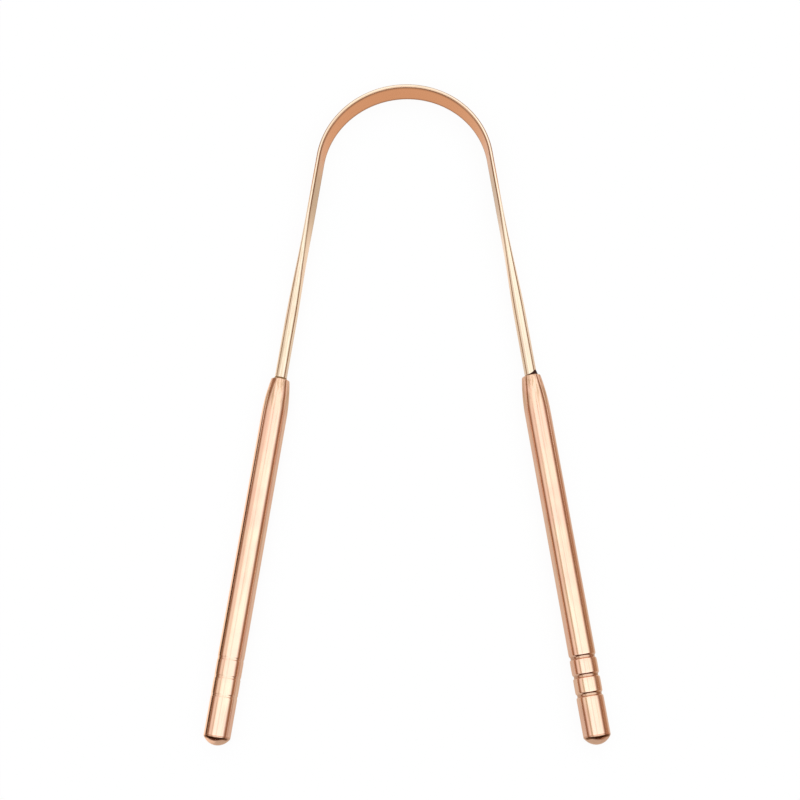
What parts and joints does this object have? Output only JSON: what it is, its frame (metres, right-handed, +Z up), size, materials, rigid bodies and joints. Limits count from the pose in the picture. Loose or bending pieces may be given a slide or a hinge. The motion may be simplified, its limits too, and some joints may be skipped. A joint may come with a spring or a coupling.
{
  "type": "tongue scraper",
  "caption": "U-shaped tongue scraper: a wire bow, flattened where it scrapes, on straight ringed tubular handles in polished copper-coloured metal.",
  "frame": {"origin": "middle of the overall length and width, on the surface that the scraper lies on", "axes": "+Y from the handles to the crown of the bow, +X to the right-hand handle, +Z up from the surface the scraper lies on"},
  "size_m": [0.085, 0.1502, 0.0057],
  "materials": {
    "copper_metal": "polished",
    "sealing_bond": "satin"
  },
  "bodies": {
    "root": {"scraper_bow": "copper_metal", "left_handle_tube": "copper_metal", "left_end_plug": "copper_metal", "right_handle_tube": "copper_metal", "right_end_plug": "copper_metal", "left_tang_bead": "sealing_bond", "right_tang_bead": "sealing_bond"}
  },
  "joints": []
}
